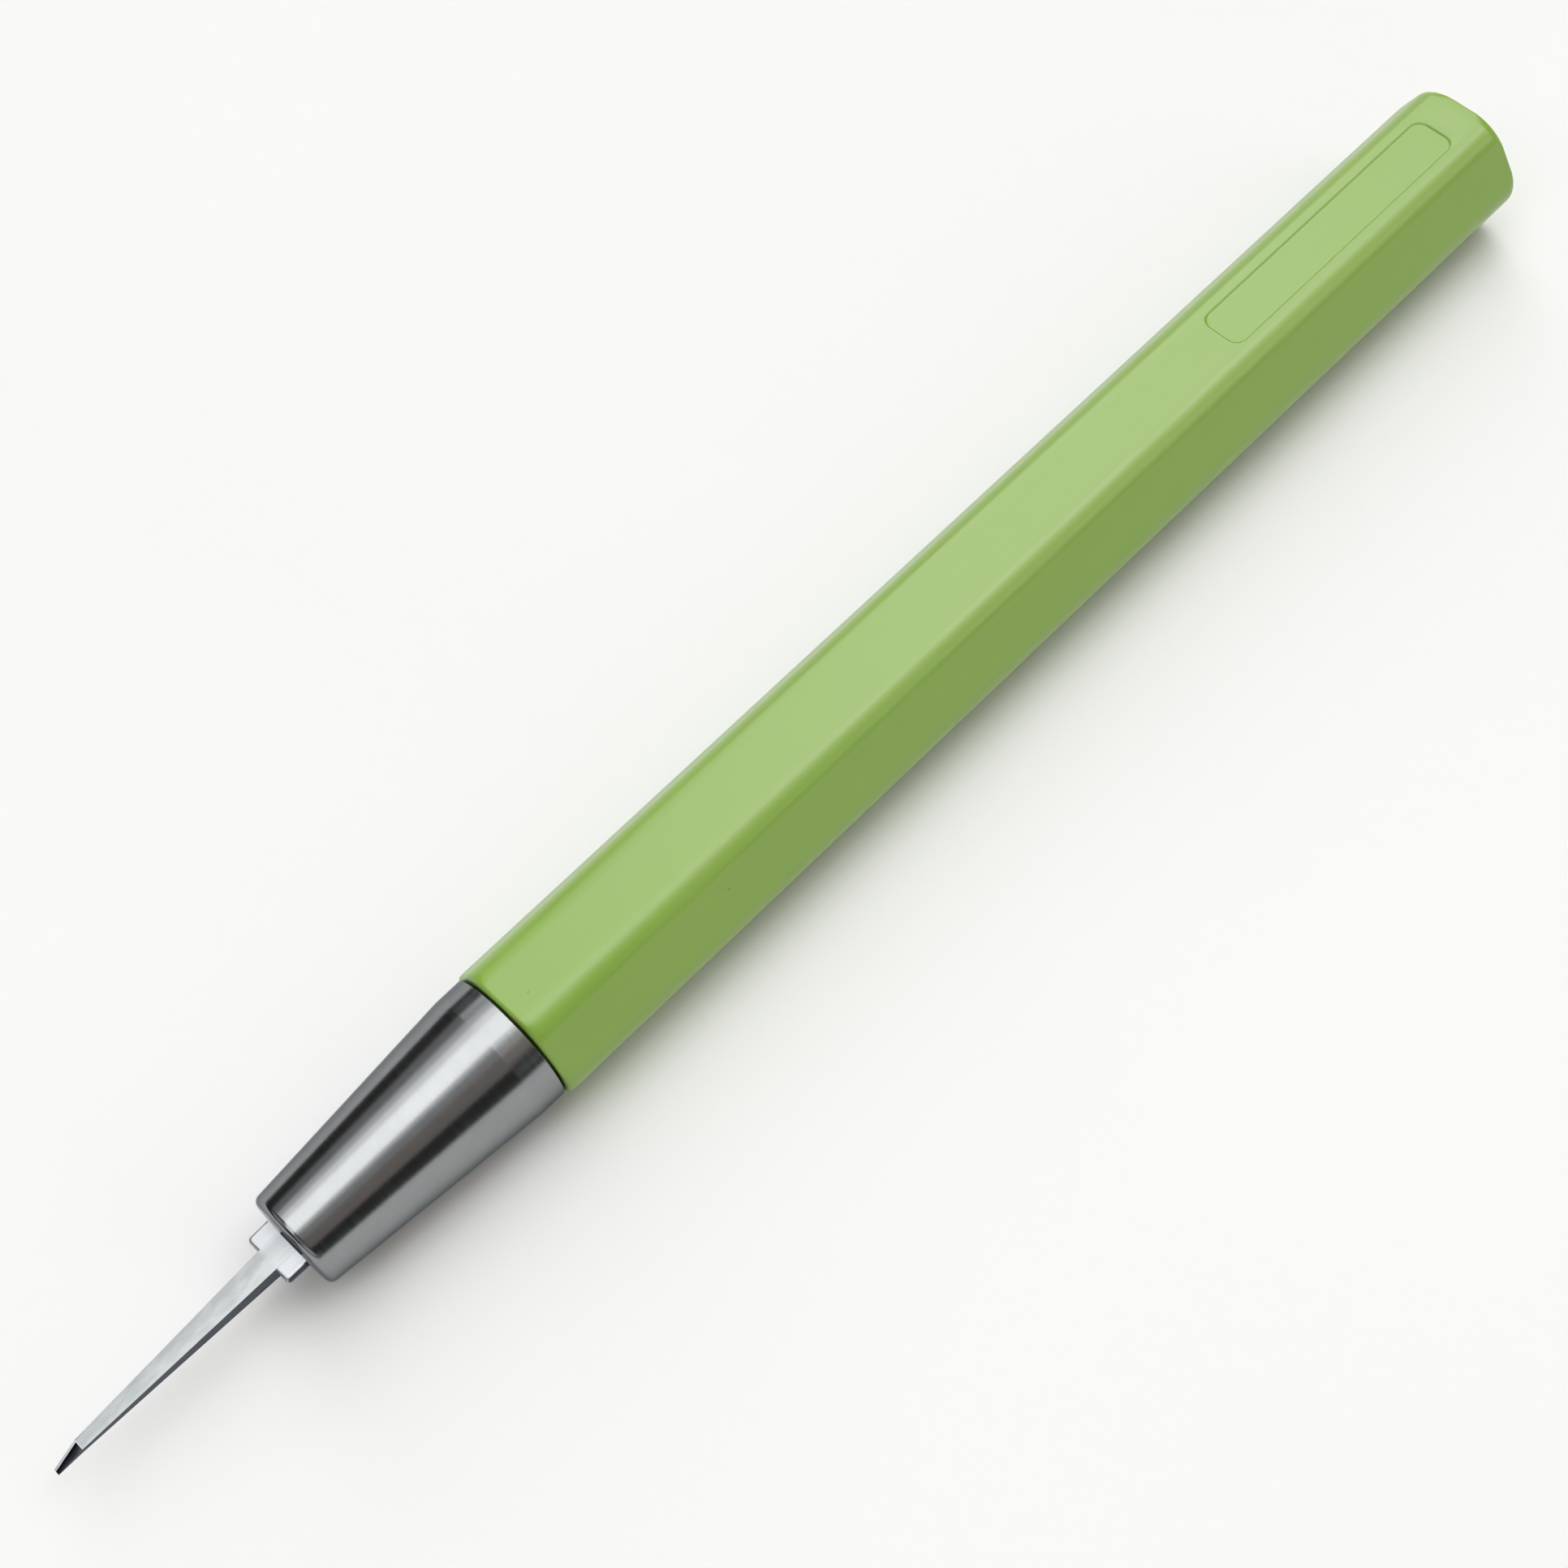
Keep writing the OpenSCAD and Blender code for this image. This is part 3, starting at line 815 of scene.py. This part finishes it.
def hang_lamps():
    """A row of panels over the nose, one over the rest of the tool and one in front of it."""
    over_nose = (-0.30, 0.18)
    over_tail = (0.19, 0.64)
    in_front = (-0.9, -0.5)
    softbox("nose_far", over_nose, (-60, -42), 0.25)
    softbox("nose_left", over_nose, (-42, -30), 0.9)
    softbox("nose_mid", over_nose, (-30, -18), 1.75)
    softbox("nose_strip", over_nose, (-18, 13), 2.7)
    softbox("nose_step", over_nose, (13, 20), 0.95)
    softbox("nose_low", over_nose, (20, 34), 0.38)
    softbox("nose_warm", over_nose, (34, 58), 0.27, (1, 0.84, 0.76))
    softbox("tail_low", (0.25, 0.64), (-74, -58), 3.4)
    softbox("tail_far", over_tail, (-58, -32), 3.1)
    softbox("tail_panel", over_tail, (-32, -8), 3.2)
    softbox("tail_near", over_tail, (-8, 6), 3.3)
    softbox("tail_strip", over_tail, (6, 22), 4.6)
    softbox("tail_step", over_tail, (22, 36), 2.1, (1, 0.95, 0.82))
    softbox("tail_side", (0.22, 0.64), (36, 50), 1.3, (1, 0.95, 0.82))
    softbox("tail_edge", (0.30, 0.64), (50, 74), 2.1)
    softbox("front_strip", (-0.8, -0.30), (-15, 11), 1.8)
    softbox("front_side", (-0.88, -0.35), (50, 80), 0.6)
    softbox("front_far", in_front, (-62, -36), 0.5)
    softbox("front_mid", in_front, (-36, -15), 0.3)
    softbox("front_low", in_front, (11, 50), 0.3)


def make_world():
    """Pale at the horizon, dark above it, and softly lit higher up."""
    world = bpy.data.worlds.new("studio")
    bpy.context.scene.world = world
    world.use_nodes = True
    tree = world.node_tree
    spot = tree.nodes.new("ShaderNodeTexCoord")
    parts = tree.nodes.new("ShaderNodeSeparateXYZ")
    tree.links.new(spot.outputs["Generated"], parts.inputs["Vector"])
    shade = tree.nodes.new("ShaderNodeValToRGB")
    levels = ((0.045, 0.955), (0.085, 0.03), (0.5, 0.03), (0.6, 0.05))
    band = shade.color_ramp
    for i, (position, level) in enumerate(levels):
        stop = band.elements[i] if i < 2 else band.elements.new(position)
        stop.position = position
        stop.color = (level, level, level, 1)
    tree.links.new(parts.outputs["Z"], shade.inputs["Fac"])
    tree.links.new(shade.outputs["Color"], tree.nodes["Background"].inputs["Color"])


# Camera, with its place in millimetres from the middle of the handle's front face
LENS = 63.178
CAMERA_FROM_FRONT = (-24.936, -71.348, 161.192)
LOOK = Vector((0.27052, 0.38908, -0.88059))
UP = Vector((0.65873, 0.59224, 0.46404))


def make_camera():
    """The camera at the photograph's viewing angle."""
    data = bpy.data.cameras.new("camera")
    data.lens = LENS
    data.sensor_width = 36
    data.clip_start = 0.005
    data.clip_end = 200
    camera = bpy.data.objects.new("camera", data)
    bpy.context.scene.collection.objects.link(camera)
    right = LOOK.cross(UP).normalized()
    up = right.cross(LOOK).normalized()
    turn = Matrix((right, up, -LOOK.normalized())).transposed().to_4x4()
    camera.matrix_world = Matrix.Translation(place(*CAMERA_FROM_FRONT)) @ turn
    bpy.context.scene.camera = camera


make_floor()
hang_lamps()
make_world()
make_camera()
bpy.context.scene.view_settings.view_transform = "Standard"
